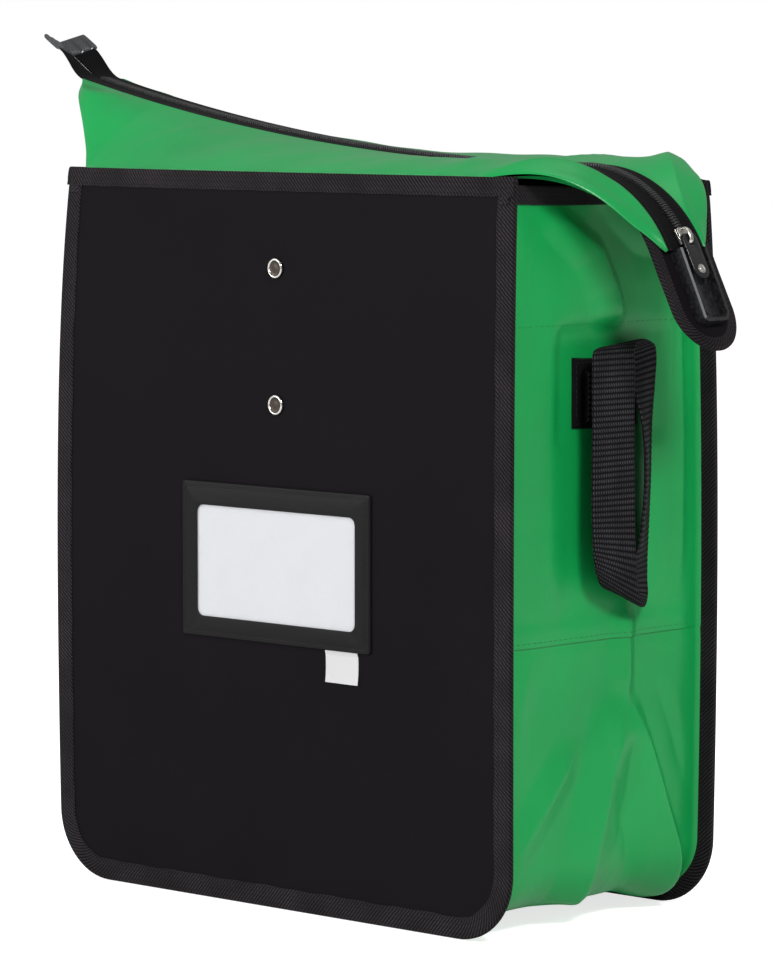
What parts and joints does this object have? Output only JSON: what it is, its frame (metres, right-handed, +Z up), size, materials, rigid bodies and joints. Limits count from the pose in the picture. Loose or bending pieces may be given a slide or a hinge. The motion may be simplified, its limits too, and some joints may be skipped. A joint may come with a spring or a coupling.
{
  "type": "cash deposit bag",
  "caption": "Tall stiff-panelled cash bag with a soft gusset, zipped gable closure ending in a sealable lock tongue, side webbing handles and an address pocket.",
  "frame": {"origin": "on the floor under the middle of the bag, midway between its two panels and between its two gussets", "axes": "+Z up, -Y out of the front panel that carries the address pocket, +X towards the lock tongue"},
  "size_m": [0.5523, 0.1861, 0.528],
  "materials": {
    "black_cover": "satin grained PVC",
    "twill_tape": "woven twill",
    "green_pvc": "semi-gloss tarpaulin",
    "webbing": "ribbed weave",
    "zip_tape": "woven tape",
    "zip_coil": "moulded coil",
    "nickel": "polished nickel",
    "lock_plastic": "moulded, satin",
    "pocket_vinyl": "sewn vinyl",
    "clear_vinyl": "clear film",
    "card": "plain card",
    "label_tape": "woven label",
    "board": "stiffener board",
    "lining": "coated lining",
    "seal_grey": "clear-grey sealed end"
  },
  "bodies": {
    "root": {"front_panel": "black_cover", "back_panel": "black_cover", "front_stiffener": "board", "back_stiffener": "board", "front_lining": "lining", "back_lining": "lining", "gusset_base": "green_pvc", "gusset_right": "green_pvc", "gusset_left": "green_pvc", "front_edge_binding": "twill_tape", "back_edge_binding": "twill_tape", "rim_binding_front": "twill_tape", "rim_binding_back": "twill_tape", "rim_binding_right": "twill_tape", "rim_binding_left": "twill_tape", "closure_front": "green_pvc", "closure_back": "green_pvc", "end_gore_right": "green_pvc", "end_gore_left": "green_pvc", "zipper_tape_front": "zip_tape", "zipper_tape_back": "zip_tape", "zipper_coil_front": "zip_coil", "zipper_coil_back": "zip_coil", "zipper_tail_end": "seal_grey", "lock_tongue": "black_cover", "tongue_binding": "twill_tape", "seal_housing": "lock_plastic", "housing_backplate": "lock_plastic", "housing_rivets": "nickel", "pocket_frame": "pocket_vinyl", "pocket_window": "clear_vinyl", "sewn_label": "label_tape", "upper_rivet": "nickel", "lower_rivet": "nickel", "rivet_washers": "nickel", "handle_right_patch": "black_cover", "handle_right_reinforcement": "green_pvc", "handle_right_anchor": "webbing", "handle_left_patch": "black_cover", "handle_left_reinforcement": "green_pvc", "handle_left_anchor": "webbing"},
    "zip_slider": {"zip_slider": "nickel"},
    "puller": {"zip_puller": "lock_plastic", "puller_pin": "nickel"},
    "card": {"address_card": "card"},
    "handle_right": {"handle_right_loop": "webbing"},
    "handle_left": {"handle_left_loop": "webbing"}
  },
  "joints": [
    {"name": "handle_right_swing", "type": "hinge", "parent": "root", "child": "handle_right", "pos_m": [0.1929, 0, 0.341], "axis": [0, -1, 0], "range_deg": [0, 60]},
    {"name": "handle_left_swing", "type": "hinge", "parent": "root", "child": "handle_left", "pos_m": [-0.1929, 0, 0.341], "axis": [0, 1, 0], "range_deg": [0, 150]},
    {"name": "zip_slider_travel", "type": "hinge", "parent": "root", "child": "zip_slider", "pos_m": [0.168, 0, 0.367], "axis": [0, -1, 0], "range_deg": [0, 45]},
    {"name": "puller_lift", "type": "hinge", "parent": "zip_slider", "child": "puller", "pos_m": [0.24755, 0, 0.41575], "axis": [0, -1, 0], "range_deg": [0, 150]},
    {"name": "card_slide", "type": "slide", "parent": "root", "child": "card", "axis": [0, 0, 1], "range_m": [0, 0.05]}
  ]
}
